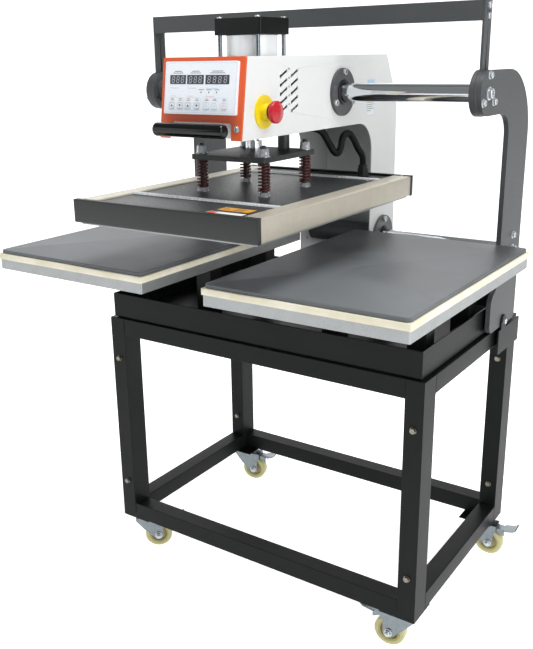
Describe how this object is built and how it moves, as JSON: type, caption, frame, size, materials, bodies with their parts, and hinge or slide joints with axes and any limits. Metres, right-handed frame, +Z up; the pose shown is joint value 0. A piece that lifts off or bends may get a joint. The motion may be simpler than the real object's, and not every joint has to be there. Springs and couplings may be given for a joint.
{
  "type": "heat press",
  "caption": "Pneumatic shuttle heat press: a heated platen on a sliding head over left and right beds, on a caster stand.",
  "frame": {"origin": "centre of the whole object's box in plan, on the floor", "axes": "+X to the operator's right, +Y towards the back, +Z up"},
  "size_m": [0.95, 0.788, 1.299],
  "materials": {
    "powder_black": "satin textured powder coat",
    "arm_grey": "satin powder coat",
    "head_white": "semi-gloss off-white powder coat",
    "bezel_orange": "satin powder coat",
    "zinc": "zinc plated",
    "cast_aluminium": "sand cast, machined edges",
    "foam": "closed-cell silicone foam",
    "silicone": "smooth matt silicone rubber",
    "hard_chrome": "ground hard chrome",
    "anodised": "clear anodised",
    "cap_black": "black anodised",
    "membrane": "smooth polyester film",
    "led_window": "smoked acrylic",
    "key_white": "satin",
    "gloss_black": "polished",
    "stop_yellow": "moulded",
    "stop_red": "moulded",
    "spring_red": "painted spring steel",
    "beige_steel": "brushed stainless steel",
    "cover_grey": "satin powder coat",
    "panel_grey": "fine textured enamel",
    "pu_wheel": "cast polyurethane on nylon core",
    "nylon_black": "moulded nylon",
    "bearing_grey": "satin black-grey",
    "inner_steel": "plain steel"
  },
  "bodies": {
    "stand": {"front_frame": "powder_black", "rear_frame": "powder_black", "side_rails": "powder_black", "fasteners": "zinc", "base_tray": "powder_black", "bed_supports": "powder_black", "bed_plates": "cast_aluminium", "foam_pads": "foam", "rubber_pads": "silicone", "left_arm": "arm_grey", "right_arm": "arm_grey", "crossbar": "arm_grey", "crossbar_uprights": "arm_grey", "shaft_flanges": "arm_grey", "slide_shafts": "hard_chrome", "caster_plates": "zinc"},
    "head": {"head_shell": "head_white", "head_rear_cover": "head_white", "ram_mount": "inner_steel", "shaft_bearings": "bearing_grey", "control_bezel": "bezel_orange", "membrane_panel": "membrane", "display_windows": "led_window", "handle_bar": "gloss_black", "e_stop_ring": "stop_yellow", "cylinder_caps": "cap_black", "cylinder_barrel": "anodised", "tie_rods": "zinc", "rear_inlets": "nylon_black", "platen_lead": "nylon_black"},
    "ram": {"ram_rod": "hard_chrome", "guide_rod": "bearing_grey", "spring_plate": "powder_black", "platen_springs": "spring_red"},
    "platen": {"heat_plate": "cast_aluminium", "platen_rails": "beige_steel", "platen_covers": "cover_grey", "platen_panel": "panel_grey", "spring_bolts": "zinc", "lead_gland": "nylon_black"},
    "e_stop": {"e_stop_button": "stop_red"},
    "key_1": {"key_1": "key_white"},
    "key_2": {"key_2": "key_white"},
    "key_3": {"key_3": "key_white"},
    "key_4": {"key_4": "key_white"},
    "key_5": {"key_5": "key_white"},
    "key_6": {"key_6": "key_white"},
    "key_7": {"key_7": "key_white"},
    "fork_fr": {"fork_fr": "zinc"},
    "wheel_fr": {"wheel_fr": "pu_wheel"},
    "pedal_fr": {"pedal_fr": "zinc"},
    "fork_fl": {"fork_fl": "zinc"},
    "wheel_fl": {"wheel_fl": "pu_wheel"},
    "pedal_fl": {"pedal_fl": "zinc"},
    "fork_rr": {"fork_rr": "zinc"},
    "wheel_rr": {"wheel_rr": "pu_wheel"},
    "pedal_rr": {"pedal_rr": "zinc"},
    "fork_rl": {"fork_rl": "zinc"},
    "wheel_rl": {"wheel_rl": "pu_wheel"},
    "pedal_rl": {"pedal_rl": "zinc"}
  },
  "joints": [
    {"name": "head_shuttle", "type": "slide", "parent": "stand", "child": "head", "axis": [1, 0, 0], "range_m": [-0.273, 0.273]},
    {"name": "ram_press", "type": "slide", "parent": "head", "child": "ram", "axis": [0, 0, -1], "range_m": [0, 0.0835], "deforming": ["platen_lead"]},
    {"name": "platen_float", "type": "slide", "parent": "ram", "child": "platen", "axis": [0, 0, 1], "range_m": [0, 0.01], "deforming": ["platen_springs"]},
    {"name": "e_stop_press", "type": "slide", "parent": "head", "child": "e_stop", "axis": [-1, 0, 0], "range_m": [0, 0.004], "stiffness_N_per_m": 2000, "springref_m": -0.001},
    {"name": "key_1_press", "type": "slide", "parent": "head", "child": "key_1", "axis": [0, 0.9895, -0.1443], "range_m": [0, 0.0006], "stiffness_N_per_m": 800, "springref_m": -0.0003},
    {"name": "key_2_press", "type": "slide", "parent": "head", "child": "key_2", "axis": [0, 0.9895, -0.1443], "range_m": [0, 0.0006], "stiffness_N_per_m": 800, "springref_m": -0.0003},
    {"name": "key_3_press", "type": "slide", "parent": "head", "child": "key_3", "axis": [0, 0.9895, -0.1443], "range_m": [0, 0.0006], "stiffness_N_per_m": 800, "springref_m": -0.0003},
    {"name": "key_4_press", "type": "slide", "parent": "head", "child": "key_4", "axis": [0, 0.9895, -0.1443], "range_m": [0, 0.0006], "stiffness_N_per_m": 800, "springref_m": -0.0003},
    {"name": "key_5_press", "type": "slide", "parent": "head", "child": "key_5", "axis": [0, 0.9895, -0.1443], "range_m": [0, 0.0006], "stiffness_N_per_m": 800, "springref_m": -0.0003},
    {"name": "key_6_press", "type": "slide", "parent": "head", "child": "key_6", "axis": [0, 0.9895, -0.1443], "range_m": [0, 0.0006], "stiffness_N_per_m": 800, "springref_m": -0.0003},
    {"name": "key_7_press", "type": "slide", "parent": "head", "child": "key_7", "axis": [0, 0.9895, -0.1443], "range_m": [0, 0.0006], "stiffness_N_per_m": 800, "springref_m": -0.0003},
    {"name": "swivel_fr", "type": "hinge", "parent": "stand", "child": "fork_fr", "pos_m": [0.36, -0.09, 0.0835], "axis": [0, 0, 1], "continuous": true},
    {"name": "spin_fr", "type": "hinge", "parent": "fork_fr", "child": "wheel_fr", "pos_m": [0.33211, -0.09244, 0.034], "axis": [0.0872, -0.9962, 0], "continuous": true},
    {"name": "brake_fr", "type": "hinge", "parent": "fork_fr", "child": "pedal_fr", "pos_m": [0.34605, -0.09122, 0.075], "axis": [0.0872, -0.9962, 0], "range_deg": [0, 7]},
    {"name": "swivel_fl", "type": "hinge", "parent": "stand", "child": "fork_fl", "pos_m": [-0.36, -0.09, 0.0835], "axis": [0, 0, 1], "continuous": true},
    {"name": "spin_fl", "type": "hinge", "parent": "fork_fl", "child": "wheel_fl", "pos_m": [-0.33794, -0.07276, 0.034], "axis": [-0.6157, 0.788, 0], "continuous": true},
    {"name": "brake_fl", "type": "hinge", "parent": "fork_fl", "child": "pedal_fl", "pos_m": [-0.34897, -0.08138, 0.075], "axis": [-0.6157, 0.788, 0], "range_deg": [0, 7]},
    {"name": "swivel_rr", "type": "hinge", "parent": "stand", "child": "fork_rr", "pos_m": [0.36, 0.354, 0.0835], "axis": [0, 0, 1], "continuous": true},
    {"name": "spin_rr", "type": "hinge", "parent": "fork_rr", "child": "wheel_rr", "pos_m": [0.38796, 0.35547, 0.034], "axis": [-0.0523, 0.9986, 0], "continuous": true},
    {"name": "brake_rr", "type": "hinge", "parent": "fork_rr", "child": "pedal_rr", "pos_m": [0.37398, 0.35473, 0.075], "axis": [-0.0523, 0.9986, 0], "range_deg": [0, 7]},
    {"name": "swivel_rl", "type": "hinge", "parent": "stand", "child": "fork_rl", "pos_m": [-0.36, 0.354, 0.0835], "axis": [0, 0, 1], "continuous": true},
    {"name": "spin_rl", "type": "hinge", "parent": "fork_rl", "child": "wheel_rl", "pos_m": [-0.33261, 0.35982, 0.034], "axis": [-0.2079, 0.9781, 0], "continuous": true},
    {"name": "brake_rl", "type": "hinge", "parent": "fork_rl", "child": "pedal_rl", "pos_m": [-0.34631, 0.35691, 0.075], "axis": [-0.2079, 0.9781, 0], "range_deg": [0, 7]}
  ]
}
